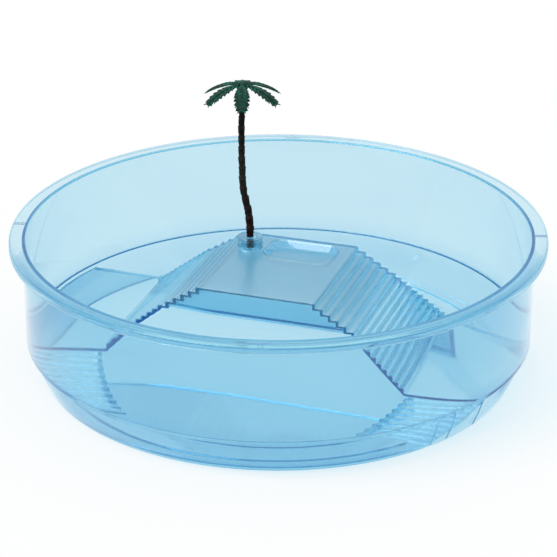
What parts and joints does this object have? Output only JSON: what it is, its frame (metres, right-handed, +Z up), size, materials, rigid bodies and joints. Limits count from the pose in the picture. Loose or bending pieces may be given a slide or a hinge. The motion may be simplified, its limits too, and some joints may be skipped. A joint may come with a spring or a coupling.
{
  "type": "turtle tank",
  "caption": "Round clear plastic turtle tank, moulded in one piece with a stepped island, ramps and ribbed stairs down to the pool, with a small plug-in plastic palm.",
  "frame": {"origin": "centre of the foot's resting plane, on the rim's axis", "axes": "+Z up, the island's steps go down to +X and -X, the palm stands at the rear left, -X +Y"},
  "size_m": [0.3999, 0.4, 0.2079],
  "materials": {
    "clear_blue_plastic": "clear, pale blue tint, glossy",
    "trunk_plastic": "satin dark brown",
    "leaf_plastic": "satin dark green"
  },
  "bodies": {
    "root": {"tank": "clear_blue_plastic", "palm_trunk": "trunk_plastic", "palm_crown": "leaf_plastic"}
  },
  "joints": []
}
